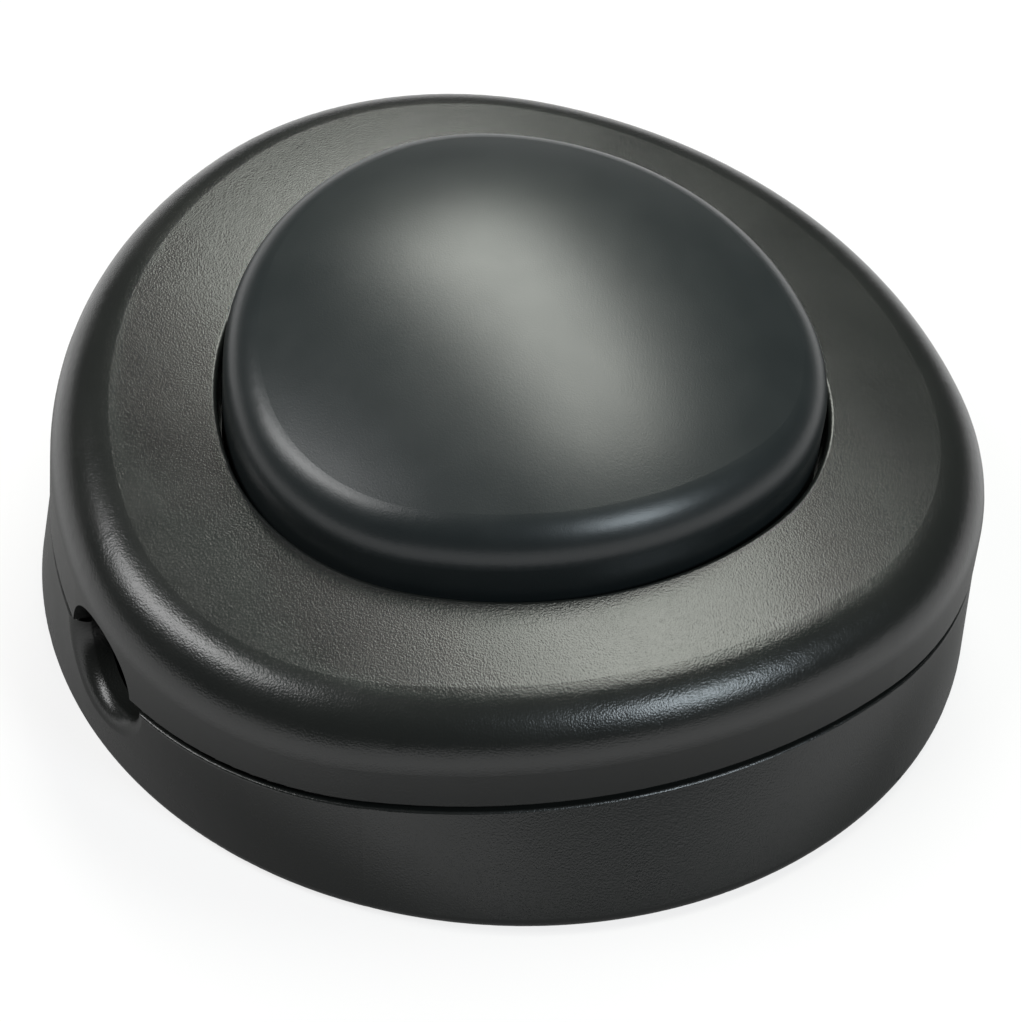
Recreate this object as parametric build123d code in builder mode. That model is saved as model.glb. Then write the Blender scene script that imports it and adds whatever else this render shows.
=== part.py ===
"""Foot switch for a lamp cord: two-part moulded housing, domed button, ratchet rotor and terminals.

Millimetres, +Z up. The switch stands on z = 0, its back corner points to +Y, and the cord passes
through along X. The rotor axis is the Z axis.
"""

import os
from math import cos, radians, sin, sqrt

from build123d import *

os.makedirs("parts", exist_ok=True)

# Housing outline at the joint line: three corner arcs joined by flatter arcs tangent to them.
back_corner_y = 6.93
back_corner_r = 26.89
front_corner_x = 9.41
front_corner_y = -5.33
front_corner_r = 23.92
side_r = 39.9
front_r = 47.34

# Round foot that the base stands on.
foot_x = 0.44
foot_y = -1.38
foot_r = 34.2
foot_edge_r = 0.8

# Housing heights and walls.
joint_z = 8.77
joint_groove = 0.5
joint_edge_r = 0.2
crown_r = 200.0
crown_top_y = 12.5
crown_top_z = 20.58
top_edge_r = 4.7
cover_draft = 2.0
wall = 2.4
top_t = 2.2
floor_t = 2.2
lip_t = 1.1
lip_h = 1.4
lip_clear = 0.1

# Button opening, a smaller rounded triangle in the cover.
opening_back_y = 4.7
opening_back_r = 15.56
opening_front_x = 5.53
opening_front_y = -3.61
opening_front_r = 16.06
opening_side_r = 24.35
opening_front_side_r = 27.49
opening_edge_r = 0.3
collar_t = 1.3
collar_z = 12.8

# Button.
button_gap = 0.4
button_wall = 1.8
button_roof = 2.2
dome_r = 49.3
dome_top_y = -0.94
dome_top_z = 28.1
dome_slope = 4.2
dome_edge_r = 3.6
flange_w = 0.6
flange_t = 1.4
flange_clear = 0.2
travel = 3.5

# Cord entries, on the joint line at both sides.
cord_y = -10.6
cord_hole_r = 4.1
cord_r = 3.2
cord_lip_r = 1.4

# Housing screws, from below.
screw_edge = 5.75
front_screw_angle = 250.0
screw_r = 1.45
screw_clear = 0.05
screw_head_r = 2.8
screw_head_h = 2.0
screw_head_clear = 0.2
screw_sink = 3.4
screw_grip = 4.5
screw_slot = 0.7
screw_cross = 3.4
boss_r = 4.4
cover_boss_r = 3.2

# Rotor axle and rotor.
axle_r = 1.5
axle_fit = 0.02
axle_sink = 1.2
axle_boss_r = 3.2
rotor_clear = 0.05
rotor_lift = 0.2
hub_r = 2.8
disc_r = 8.6
disc_t = 2.0
tooth_count = 4
tooth_in_r = 5.0
tooth_out_r = 7.8
tooth_root = 0.4
ramp_angle = 80.0
drive_angle = 72.0
crest_angle = 60.0
nose_lead = 8.0
nose_angle = 9.0
nose_clear = 0.35
stem_clear = 0.4
notch_r = 0.8
clip_t = 0.6
clip_r = 3.0
clip_groove = 0.3
clip_clear = 0.05
clip_mouth = 2.0
axle_tip = 0.8

# Return spring.
spring_r = 13.5
spring_wire_r = 0.5
spring_turns = 4.5
spring_seat_w = 2.6
spring_seat_z = 4.6
spring_top_z = 19.0
spring_clear = 0.05

# Contacts.
strip_w = 4.0
strip_t = 0.6
contact_r = 7.0
contact_gap = 0.25
rivet_r = 1.3
rivet_h = 0.5
bridge_t = 0.5
bridge_w = 4.2
bridge_reach = 8.2
bridge_hole_clear = 0.4
bridge_ring_w = 1.9
strip_tail = 1.8
notch_clear = 0.3

# Detent leaf.
detent_t = 0.35
detent_h = 1.6
detent_gap = 0.27
detent_span = 5.2
detent_bow = 1.15
detent_post = 2.0
detent_clear = 0.1

# Terminals.
terminal_y = 1.2
terminal_w = 6.0
terminal_l = 7.0
terminal_h = 6.6
terminal_wall_clear = 0.5
terminal_bore_r = 1.5
terminal_bore_z = 2.6
terminal_screw_r = 1.3
terminal_head_r = 2.4
terminal_head_h = 1.7
terminal_slot = 0.7
through_l = 16.0
through_w = 5.4
through_screw_x = 4.6
through_wall_clear = 0.3
fence_t = 1.0
fence_h = 3.0
fence_clear = 0.15

# Cord clamps.
clamp_inset = 7.5
clamp_w = 4.4
clamp_t = 2.0
clamp_arch_t = 1.0
clamp_screw_y = 5.4
clamp_end_r = 2.15
clamp_screw_r = 1.1
clamp_head_r = 1.8
clamp_head_h = 1.4
clamp_grip = 5.0
post_r = 2.1
post_rise = 0.4


def wrap_centre(first, first_r, second, second_r, radius):
    """Centre of the arc that closes over two corner circles and touches both from outside."""
    line = second - first
    first_reach = radius - first_r
    second_reach = radius - second_r
    along = (first_reach**2 - second_reach**2 + line.length**2) / (2 * line.length)
    aside = sqrt(first_reach**2 - along**2)
    unit = line.normalized()
    return first + unit * along + Vector(-unit.Y, unit.X) * aside


def outline_arcs(corners, sides, grow):
    """Start, middle and end of each arc of the rounded triangle, anticlockwise from the back."""
    count = len(corners)
    centres = []
    for k in range(count):
        here, here_r = corners[k]
        there, there_r = corners[(k + 1) % count]
        centres.append(wrap_centre(here, here_r, there, there_r, sides[k]))
    arcs = []
    for k in range(count):
        corner, corner_r = corners[k]
        following = corners[(k + 1) % count][0]
        enter = (corner - centres[k - 1]).normalized()
        leave = (corner - centres[k]).normalized()
        close = (following - centres[k]).normalized()
        arcs.append((corner, corner_r + grow, enter, leave))
        arcs.append((centres[k], sides[k] + grow, leave, close))
    points = []
    for centre, radius, begin, end in arcs:
        half = (begin + end).normalized()
        points.append((centre + begin * radius, centre + half * radius, centre + end * radius))
    return points


def outline_face(shape, grow, z):
    """Rounded triangle as a face at height z, grown outwards by the given amount."""
    with BuildSketch(Plane.XY.offset(z)) as face:
        with BuildLine():
            for start, middle, end in outline_arcs(*shape, grow):
                ThreePointArc(start, middle, end)
        make_face()
    return face.sketch


def outline_ring(shape, outer, inner, z):
    """Band between two parallel outlines at height z."""
    with BuildSketch(Plane.XY.offset(z)) as band:
        with BuildLine():
            for start, middle, end in outline_arcs(*shape, outer):
                ThreePointArc(start, middle, end)
        make_face()
        with BuildLine():
            for start, middle, end in outline_arcs(*shape, inner):
                ThreePointArc(start, middle, end)
        make_face(mode=Mode.SUBTRACT)
    return band.sketch


def foot_face(shape, centre, radius, z):
    """Round foot, split at the same bearings as the outline above it."""
    with BuildSketch(Plane.XY.offset(z)) as face:
        with BuildLine():
            for arc in outline_arcs(*shape, 0):
                start, middle, end = [centre + (p - centre).normalized() * radius for p in arc]
                ThreePointArc(start, middle, end)
        make_face()
    return face.sketch


def annulus(outer, inner, z):
    """Ring about the rotor axis at height z."""
    with BuildSketch(Plane.XY.offset(z)) as ring:
        Circle(outer)
        Circle(inner, mode=Mode.SUBTRACT)
    return ring.sketch


def radial_face(angle, inner, outer, low, high):
    """Upright rectangle in the half plane that leaves the rotor axis at the given bearing."""
    out = Vector(cos(radians(angle)), sin(radians(angle)))
    with BuildSketch(Plane(origin=(0, 0, 0), x_dir=out, z_dir=out.cross(Vector(0, 0, 1)))) as face:
        with Locations(((inner + outer) / 2, (low + high) / 2)):
            Rectangle(outer - inner, high - low)
    return face.sketch


# Outlines.
housing = (
    [
        (Vector(0, back_corner_y), back_corner_r),
        (Vector(-front_corner_x, front_corner_y), front_corner_r),
        (Vector(front_corner_x, front_corner_y), front_corner_r),
    ],
    [side_r, front_r, side_r],
)
opening = (
    [
        (Vector(0, opening_back_y), opening_back_r),
        (Vector(-opening_front_x, opening_front_y), opening_front_r),
        (Vector(opening_front_x, opening_front_y), opening_front_r),
    ],
    [opening_side_r, opening_front_side_r, opening_side_r],
)
foot_centre = Vector(foot_x, foot_y)

# Heights that follow from the sizes above.
base_top = joint_z - joint_groove / 2
cover_low = joint_z + joint_groove / 2
crown_centre = Vector(0, crown_top_y, crown_top_z - crown_r)
seam_down = (0, 90, 0)
above_all = dome_top_z + travel
flange_top = collar_z - flange_clear
flange_low = flange_top - flange_t
axle_boss_z = floor_t + strip_t + rivet_h + contact_gap + bridge_t
disc_low = axle_boss_z + rotor_lift
disc_top = disc_low + disc_t
ramp_rise = travel * ramp_angle / drive_angle
crest_z = disc_top + ramp_rise
stem_z = crest_z + stem_clear + travel
hub_top = crest_z + nose_clear
clip_z = hub_top + rotor_lift
axle_top = clip_z + clip_t + axle_tip
post_z = joint_z + post_rise
clamp_l = 2 * (clamp_screw_y + clamp_end_r)

# Places that follow from the outline.
right_side_centre = wrap_centre(*housing[0][2], *housing[0][0], side_r)
terminal_wall_x = right_side_centre.X + sqrt(
    side_r**2 - (abs(terminal_y - right_side_centre.Y) + terminal_l / 2) ** 2
)
terminal_x = terminal_wall_x - wall - terminal_wall_clear - terminal_w / 2
front_centre = wrap_centre(*housing[0][1], *housing[0][2], front_r)
through_wall_y = front_centre.Y - sqrt(front_r**2 - (through_l / 2) ** 2)
through_y = through_wall_y + wall + through_wall_clear + through_w / 2
cord_wall_x = front_corner_x + sqrt(front_corner_r**2 - (cord_y - front_corner_y) ** 2)
clamp_x = cord_wall_x - clamp_inset
front_screw = Vector(front_corner_x, front_corner_y) + Vector(
    -cos(radians(front_screw_angle)), sin(radians(front_screw_angle))
) * (front_corner_r - screw_edge)
screw_points = [
    (0, back_corner_y + back_corner_r - screw_edge),
    (-front_screw.X, front_screw.Y),
    (front_screw.X, front_screw.Y),
]
clamp_screw_points = [
    (side * clamp_x, cord_y + step) for side in (-1, 1) for step in (-clamp_screw_y, clamp_screw_y)
]
fence_gap = terminal_l / 2 + fence_clear + fence_t / 2
detent_y = disc_r + detent_gap + detent_t / 2
cord_holes = [
    Location((side * (cord_wall_x - 2 * wall), cord_y, joint_z), (0, 90 * side, 0)) for side in (-1, 1)
]

# Space of the two cord entries, from inside the wall outwards.
with BuildPart() as cord_bore:
    with Locations(*cord_holes):
        Cylinder(cord_hole_r, foot_r, align=(Align.CENTER, Align.CENTER, Align.MIN))

# Lip that the cover slips over.
with BuildPart() as base_lip:
    extrude(outline_ring(housing, lip_t - wall, -wall, base_top - lip_h), amount=2 * lip_h)
    add(cord_bore.part, mode=Mode.SUBTRACT)

# Base: drafted wall from the round foot to the joint outline, with bosses, seats and posts.
with BuildPart() as base:
    loft(
        [foot_face(housing, foot_centre, foot_r, 0), outline_face(housing, 0, base_top)],
        ruled=True,
    )
    fillet(base.edges().group_by(Axis.Z)[0], foot_edge_r)
    # Cord entries with a rounded lip.
    add(cord_bore.part, mode=Mode.SUBTRACT)
    mouths = base.edges(Select.LAST).sort_by(lambda edge: abs(edge.center().X))[-2:]
    fillet(mouths, cord_lip_r)
    rim = base.edges().group_by(Axis.Z)[-1].filter_by(GeomType.CIRCLE)
    fillet(rim.filter_by(lambda edge: edge.radius > cord_hole_r), joint_edge_r)
    # Hollow and lip.
    extrude(outline_face(housing, -wall, floor_t), amount=base_top, mode=Mode.SUBTRACT)
    add(base_lip.part)
    # Screw bosses.
    with Locations(*[(x, y, floor_t) for x, y in screw_points]):
        Cylinder(boss_r, joint_z - floor_t, align=(Align.CENTER, Align.CENTER, Align.MIN))
    with Locations(*[Location((x, y, 0), (180, 0, 0)) for x, y in screw_points]):
        CounterBoreHole(
            screw_r + screw_clear, screw_head_r + screw_head_clear, screw_sink, joint_z
        )
    # Axle boss and spring collar, the collar notched for the contact strips.
    with Locations((0, 0, floor_t)):
        Cylinder(axle_boss_r, axle_boss_z - floor_t, align=(Align.CENTER, Align.CENTER, Align.MIN))
    with Locations((0, 0, axle_sink)):
        Cylinder(
            axle_r + axle_fit,
            axle_top,
            align=(Align.CENTER, Align.CENTER, Align.MIN),
            mode=Mode.SUBTRACT,
        )
    extrude(
        annulus(spring_r + spring_seat_w / 2, spring_r - spring_seat_w / 2, floor_t),
        amount=spring_seat_z - floor_t,
    )
    with Locations((0, 0, floor_t)):
        Box(
            2 * spring_r + 2 * spring_seat_w,
            strip_w + 2 * notch_clear,
            spring_seat_z,
            align=(Align.CENTER, Align.CENTER, Align.MIN),
            mode=Mode.SUBTRACT,
        )
    # Posts for the cord clamps.
    with Locations(*[(x, y, floor_t) for x, y in clamp_screw_points]):
        Cylinder(post_r, post_z - floor_t, align=(Align.CENTER, Align.CENTER, Align.MIN))
    with Locations(*[(x, y, post_z) for x, y in clamp_screw_points]):
        Hole(clamp_screw_r + screw_clear, clamp_grip)
    # Ribs that hold the terminals.
    with Locations(
        *[
            (side * terminal_x, terminal_y + step, floor_t)
            for side in (-1, 1)
            for step in (-fence_gap, fence_gap)
        ]
    ):
        Box(terminal_w, fence_t, fence_h, align=(Align.CENTER, Align.CENTER, Align.MIN))
    with Locations(
        *[
            (side * (through_l / 2 + fence_clear + fence_t / 2), through_y, floor_t)
            for side in (-1, 1)
        ]
    ):
        Box(fence_t, through_w, fence_h, align=(Align.CENTER, Align.CENTER, Align.MIN))
    # Slotted posts for the detent leaf.
    with Locations(
        *[(side * detent_span, detent_y + detent_bow, floor_t) for side in (-1, 1)]
    ):
        Box(
            detent_post,
            detent_post,
            disc_top - floor_t,
            align=(Align.CENTER, Align.CENTER, Align.MIN),
        )
    with BuildSketch(Plane.XY.offset(disc_top - detent_h)):
        with BuildLine():
            Polyline(
                (-detent_span - detent_post, detent_y + detent_bow * (1 + detent_post / detent_span)),
                (0, detent_y),
                (detent_span + detent_post, detent_y + detent_bow * (1 + detent_post / detent_span)),
            )
            offset(amount=detent_t / 2 + detent_clear, side=Side.BOTH)
        make_face()
    extrude(amount=2 * detent_h, mode=Mode.SUBTRACT)
base.part.label = "base"
export_step(base.part, "parts/base.step")

# Space inside the cover: the drafted wall and roof, with the screw bosses and the collar left standing.
with BuildPart() as cover_hollow:
    extrude(outline_face(housing, -wall, 0), amount=above_all)
    with Locations(crown_centre):
        Sphere(crown_r - top_t, rotation=seam_down, mode=Mode.INTERSECT)
    fillet(cover_hollow.faces().sort_by(Axis.Z)[-1].edges(), top_edge_r - top_t)
    with Locations(*[(x, y, joint_z) for x, y in screw_points]):
        Cylinder(
            cover_boss_r,
            above_all,
            align=(Align.CENTER, Align.CENTER, Align.MIN),
            mode=Mode.SUBTRACT,
        )
    extrude(
        outline_face(opening, collar_t, collar_z),
        amount=above_all,
        mode=Mode.SUBTRACT,
    )

# Cover: upper half with the sloping, crowned top, the button opening and its guide collar.
with BuildPart() as cover:
    extrude(outline_face(housing, 0, cover_low), amount=above_all, taper=cover_draft)
    with Locations(crown_centre):
        Sphere(crown_r, rotation=seam_down, mode=Mode.INTERSECT)
    fillet(cover.faces().sort_by(Axis.Z)[-1].edges(), top_edge_r)
    fillet(cover.edges().group_by(Axis.Z)[0], joint_edge_r)
    add(cover_hollow.part, mode=Mode.SUBTRACT)
    extrude(outline_face(opening, 0, 0), amount=above_all, mode=Mode.SUBTRACT)
    rim = cover.faces().filter_by(GeomType.SPHERE).sort_by(Axis.Z)[-1].inner_wires()[0]
    fillet(rim.edges(), opening_edge_r)
    # Rebate over the lip of the base.
    extrude(
        outline_ring(housing, lip_t - wall + lip_clear, -wall - lip_t, 0),
        amount=base_top + lip_h + lip_clear,
        mode=Mode.SUBTRACT,
    )
    add(cord_bore.part, mode=Mode.SUBTRACT)
    with Locations(*[(x, y, joint_z) for x, y in screw_points]):
        Cylinder(
            cover_boss_r,
            lip_h + lip_clear,
            align=(Align.CENTER, Align.CENTER, Align.MIN),
        )
    with Locations(*[Location((x, y, joint_z), (180, 0, 0)) for x, y in screw_points]):
        Hole(screw_r + screw_clear, screw_grip + screw_clear)
cover.part.label = "cover"
export_step(cover.part, "parts/cover.step")

# Space inside the button, with the drive stem and the spring seat left standing.
dome_normal = Vector(0, -sin(radians(dome_slope)), cos(radians(dome_slope)))
dome_centre = Vector(0, dome_top_y, dome_top_z) - dome_normal * dome_r
with BuildPart() as button_hollow:
    extrude(outline_face(opening, -button_gap - button_wall, 0), amount=above_all)
    with Locations(dome_centre):
        Sphere(dome_r - button_roof, mode=Mode.INTERSECT)
    extrude(annulus(tooth_out_r, tooth_in_r, stem_z), amount=above_all, mode=Mode.SUBTRACT)
    extrude(
        annulus(spring_r + spring_seat_w / 2, spring_r - spring_seat_w / 2, spring_top_z),
        amount=above_all,
        mode=Mode.SUBTRACT,
    )

# Button: domed cap with a retaining flange below the collar and four drive noses on the stem.
with BuildPart() as foot_button:
    extrude(outline_face(opening, -button_gap, flange_low), amount=above_all)
    with Locations(dome_centre):
        Sphere(dome_r, mode=Mode.INTERSECT)
    fillet(foot_button.faces().sort_by(Axis.Z)[-1].edges(), dome_edge_r)
    add(button_hollow.part, mode=Mode.SUBTRACT)
    extrude(
        outline_ring(opening, flange_w, -button_gap - button_wall, flange_low), amount=flange_t
    )
    for k in range(tooth_count):
        crest = crest_angle + 360 / tooth_count * k
        near = nose_lead - nose_angle / 2
        far = nose_lead + nose_angle / 2
        flanks = []
        for behind in (near, far):
            tip_z = crest_z - ramp_rise * behind / ramp_angle + nose_clear
            flanks.append(radial_face(crest - behind, tooth_in_r, tooth_out_r, tip_z, stem_z))
        loft(flanks, ruled=True)
foot_button.part.label = "foot_button"
export_step(foot_button.part, "parts/foot_button.step")

# Rotor: hub, disc with detent notches, and ramp teeth that fall away clockwise from each crest.
with BuildPart() as ramp:
    steps = 5
    sections = []
    for k in range(steps):
        turn = ramp_angle * k / (steps - 1)
        height = ramp_rise * (1 - k / (steps - 1))
        sections.append(
            radial_face(
                crest_angle - turn, tooth_in_r, tooth_out_r, disc_top - tooth_root, disc_top + height
            )
        )
    loft(sections, ruled=True)
with BuildPart() as rotor:
    with Locations((0, 0, disc_low)):
        Cylinder(disc_r, disc_t, align=(Align.CENTER, Align.CENTER, Align.MIN))
        Cylinder(hub_r, hub_top - disc_low, align=(Align.CENTER, Align.CENTER, Align.MIN))
    with PolarLocations(0, tooth_count):
        add(ramp.part)
    with PolarLocations(disc_r, tooth_count, start_angle=90):
        Cylinder(notch_r, above_all, mode=Mode.SUBTRACT)
    Cylinder(axle_r + rotor_clear, above_all, mode=Mode.SUBTRACT)
rotor.part.label = "rotor"
export_step(rotor.part, "parts/rotor.step")

# Axle: steel pin pressed into the base, grooved for the clip.
with BuildPart() as rotor_axle:
    with Locations((0, 0, axle_sink)):
        Cylinder(axle_r, axle_top - axle_sink, align=(Align.CENTER, Align.CENTER, Align.MIN))
    extrude(
        annulus(2 * axle_r, axle_r - clip_groove, clip_z - clip_clear),
        amount=clip_t + 2 * clip_clear,
        mode=Mode.SUBTRACT,
    )
    chamfer(rotor_axle.edges().group_by(Axis.Z)[-1], clip_groove)
rotor_axle.part.label = "rotor_axle"
export_step(rotor_axle.part, "parts/rotor_axle.step")

# Clip in the groove of the axle.
with BuildPart() as axle_clip:
    with BuildSketch(Plane.XY.offset(clip_z)):
        Circle(clip_r)
        Circle(axle_r - clip_groove + clip_clear, mode=Mode.SUBTRACT)
        with Locations((clip_r / 2, 0)):
            Rectangle(clip_r, clip_mouth, mode=Mode.SUBTRACT)
    extrude(amount=clip_t)
axle_clip.part.label = "axle_clip"
export_step(axle_clip.part, "parts/axle_clip.step")

# Return spring between the collar of the base and the seat in the button.
spring_low = spring_seat_z + spring_clear + spring_wire_r
spring_high = spring_top_z - spring_clear - spring_wire_r
with BuildPart() as return_spring:
    with BuildLine(Plane.XY.offset(spring_low)) as coil:
        Helix((spring_high - spring_low) / spring_turns, spring_high - spring_low, spring_r)
    with BuildSketch(Plane(origin=coil.line @ 0, z_dir=coil.line % 0)):
        Circle(spring_wire_r)
    sweep(path=coil.line, is_frenet=True)
return_spring.part.label = "return_spring"
export_step(return_spring.part, "parts/return_spring.step")

# Contact bridge under the rotor, with its two rivets.
bridge_low = disc_low - bridge_t
bridge_rivet_low = floor_t + strip_t + rivet_h + contact_gap
with BuildPart() as contact_bridge:
    with BuildSketch(Plane.XY.offset(bridge_low)):
        Circle(axle_boss_r + bridge_hole_clear + bridge_ring_w)
        Rectangle(bridge_w, 2 * bridge_reach)
        Circle(axle_boss_r + bridge_hole_clear, mode=Mode.SUBTRACT)
    extrude(amount=bridge_t)
contact_bridge.part.label = "contact_bridge"
export_step(contact_bridge.part, "parts/contact_bridge.step")

with BuildPart() as bridge_contacts:
    with Locations((0, contact_r, bridge_low), (0, -contact_r, bridge_low)):
        Cylinder(
            rivet_r, bridge_low - bridge_rivet_low, align=(Align.CENTER, Align.CENTER, Align.MAX)
        )
bridge_contacts.part.label = "bridge_contacts"
export_step(bridge_contacts.part, "parts/bridge_contacts.step")

# Fixed contact strips on the floor, from under each terminal to below the rotor.
strip_end = contact_r - strip_tail
strip_start = terminal_x + terminal_w / 2
with BuildPart() as fixed_contact_right:
    with Locations(((strip_start + strip_end) / 2, 0, floor_t)):
        Box(
            strip_start - strip_end,
            strip_w,
            strip_t,
            align=(Align.CENTER, Align.CENTER, Align.MIN),
        )
fixed_contact_right.part.label = "fixed_contact_right"
export_step(fixed_contact_right.part, "parts/fixed_contact_right.step")

with BuildPart() as fixed_contact_left:
    add(mirror(fixed_contact_right.part, about=Plane.YZ, mode=Mode.PRIVATE))
fixed_contact_left.part.label = "fixed_contact_left"
export_step(fixed_contact_left.part, "parts/fixed_contact_left.step")

with BuildPart() as fixed_contact_rivets:
    with Locations((contact_r, 0, floor_t + strip_t), (-contact_r, 0, floor_t + strip_t)):
        Cylinder(rivet_r, rivet_h, align=(Align.CENTER, Align.CENTER, Align.MIN))
fixed_contact_rivets.part.label = "fixed_contact_rivets"
export_step(fixed_contact_rivets.part, "parts/fixed_contact_rivets.step")

# Detent leaf, bowed towards the notches of the rotor.
with BuildPart() as detent_spring:
    with BuildSketch(Plane.XY.offset(disc_top - detent_h)):
        with BuildLine():
            Polyline(
                (-detent_span, detent_y + detent_bow),
                (0, detent_y),
                (detent_span, detent_y + detent_bow),
            )
            offset(amount=detent_t / 2, side=Side.BOTH)
        make_face()
    extrude(amount=detent_h)
detent_spring.part.label = "detent_spring"
export_step(detent_spring.part, "parts/detent_spring.step")

# Pillar terminals on the outer ends of the strips.
terminal_low = floor_t + strip_t
with BuildPart() as terminal_right:
    with Locations((terminal_x, terminal_y, terminal_low)):
        Box(terminal_w, terminal_l, terminal_h, align=(Align.CENTER, Align.CENTER, Align.MIN))
    with Locations(Location((terminal_x, terminal_y, terminal_low + terminal_bore_z), (90, 0, 0))):
        Cylinder(terminal_bore_r, 2 * terminal_l, mode=Mode.SUBTRACT)
    with Locations((terminal_x, terminal_y, terminal_low + terminal_h)):
        Hole(terminal_screw_r + screw_clear, terminal_h - terminal_bore_z)
terminal_right.part.label = "terminal_right"
export_step(terminal_right.part, "parts/terminal_right.step")

with BuildPart() as terminal_left:
    add(mirror(terminal_right.part, about=Plane.YZ, mode=Mode.PRIVATE))
terminal_left.part.label = "terminal_left"
export_step(terminal_left.part, "parts/terminal_left.step")

# Through terminal for the core that is not switched, across the front.
with BuildPart() as terminal_through:
    with Locations((0, through_y, floor_t)):
        Box(through_l, through_w, terminal_h, align=(Align.CENTER, Align.CENTER, Align.MIN))
    with Locations(Location((0, through_y, floor_t + terminal_bore_z), (0, 90, 0))):
        Cylinder(terminal_bore_r, 2 * through_l, mode=Mode.SUBTRACT)
    with Locations(
        (-through_screw_x, through_y, floor_t + terminal_h),
        (through_screw_x, through_y, floor_t + terminal_h),
    ):
        Hole(terminal_screw_r + screw_clear, terminal_h - terminal_bore_z)
terminal_through.part.label = "terminal_through"
export_step(terminal_through.part, "parts/terminal_through.step")

# Terminal screws: slotted cheese heads.
terminal_screw_l = terminal_h - terminal_bore_z - terminal_bore_r / 2
with BuildPart() as terminal_screws:
    with Locations(
        (terminal_x, terminal_y, terminal_low + terminal_h),
        (-terminal_x, terminal_y, terminal_low + terminal_h),
        (-through_screw_x, through_y, floor_t + terminal_h),
        (through_screw_x, through_y, floor_t + terminal_h),
    ):
        Cylinder(
            terminal_head_r, terminal_head_h, align=(Align.CENTER, Align.CENTER, Align.MIN)
        )
        Cylinder(
            terminal_screw_r, terminal_screw_l, align=(Align.CENTER, Align.CENTER, Align.MAX)
        )
    with Locations(
        (terminal_x, terminal_y, terminal_low + terminal_h + terminal_head_h),
        (-terminal_x, terminal_y, terminal_low + terminal_h + terminal_head_h),
        (-through_screw_x, through_y, floor_t + terminal_h + terminal_head_h),
        (through_screw_x, through_y, floor_t + terminal_h + terminal_head_h),
    ):
        Box(4 * terminal_head_r, terminal_slot, terminal_head_h, mode=Mode.SUBTRACT)
terminal_screws.part.label = "terminal_screws"
export_step(terminal_screws.part, "parts/terminal_screws.step")

# Cord clamps: saddles over the cord, screwed to posts.
with BuildPart() as cord_clamp_right:
    with BuildSketch(Plane.YZ.offset(clamp_x)):
        with Locations((cord_y, post_z + clamp_t / 2)):
            Rectangle(clamp_l, clamp_t)
        with Locations((cord_y, joint_z)):
            Circle(cord_r + clamp_arch_t)
            Circle(cord_r, mode=Mode.SUBTRACT)
        with Locations((cord_y, post_z)):
            Rectangle(clamp_l, 2 * cord_hole_r, align=(Align.CENTER, Align.MAX), mode=Mode.SUBTRACT)
    extrude(amount=clamp_w / 2, both=True)
    fillet(
        cord_clamp_right.edges().filter_by(Axis.Z).filter_by_position(
            Axis.Z, post_z, post_z + clamp_t
        ),
        clamp_end_r,
    )
    with Locations(
        (clamp_x, cord_y - clamp_screw_y, post_z + clamp_t),
        (clamp_x, cord_y + clamp_screw_y, post_z + clamp_t),
    ):
        Hole(clamp_screw_r + screw_clear)
cord_clamp_right.part.label = "cord_clamp_right"
export_step(cord_clamp_right.part, "parts/cord_clamp_right.step")

with BuildPart() as cord_clamp_left:
    add(mirror(cord_clamp_right.part, about=Plane.YZ, mode=Mode.PRIVATE))
cord_clamp_left.part.label = "cord_clamp_left"
export_step(cord_clamp_left.part, "parts/cord_clamp_left.step")

with BuildPart() as clamp_screws:
    with Locations(*[(x, y, post_z + clamp_t) for x, y in clamp_screw_points]):
        Cylinder(clamp_head_r, clamp_head_h, align=(Align.CENTER, Align.CENTER, Align.MIN))
        Cylinder(
            clamp_screw_r, clamp_t + clamp_grip, align=(Align.CENTER, Align.CENTER, Align.MAX)
        )
    with Locations(*[(x, y, post_z + clamp_t + clamp_head_h) for x, y in clamp_screw_points]):
        Box(4 * clamp_head_r, terminal_slot, clamp_head_h, mode=Mode.SUBTRACT)
clamp_screws.part.label = "clamp_screws"
export_step(clamp_screws.part, "parts/clamp_screws.step")

# Housing screws, driven up from the underside into the cover.
with BuildPart() as housing_screws:
    with Locations(*[(x, y, screw_sink) for x, y in screw_points]):
        Cylinder(screw_head_r, screw_head_h, align=(Align.CENTER, Align.CENTER, Align.MAX))
        Cylinder(
            screw_r,
            joint_z - screw_sink + screw_grip,
            align=(Align.CENTER, Align.CENTER, Align.MIN),
        )
    with Locations(*[(x, y, screw_sink - screw_head_h) for x, y in screw_points]):
        Box(screw_cross, screw_slot, screw_head_h, mode=Mode.SUBTRACT)
        Box(screw_slot, screw_cross, screw_head_h, mode=Mode.SUBTRACT)
housing_screws.part.label = "housing_screws"
export_step(housing_screws.part, "parts/housing_screws.step")
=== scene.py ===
# %% [markdown]
# # A foot switch for a lamp cord
#
# The solids arrive as a finished frame: base, cover, button and the switch works inside. This
# lesson dresses them. It gives every surface its finish, makes the small hardware that repeats,
# and sets up a plain studio with the camera that the photograph had.

import math

import bmesh
import bpy
import numpy as np
from mathutils import Matrix, Vector
from mathutils.bvhtree import BVHTree
from mathutils.interpolate import poly_3d_calc


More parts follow.
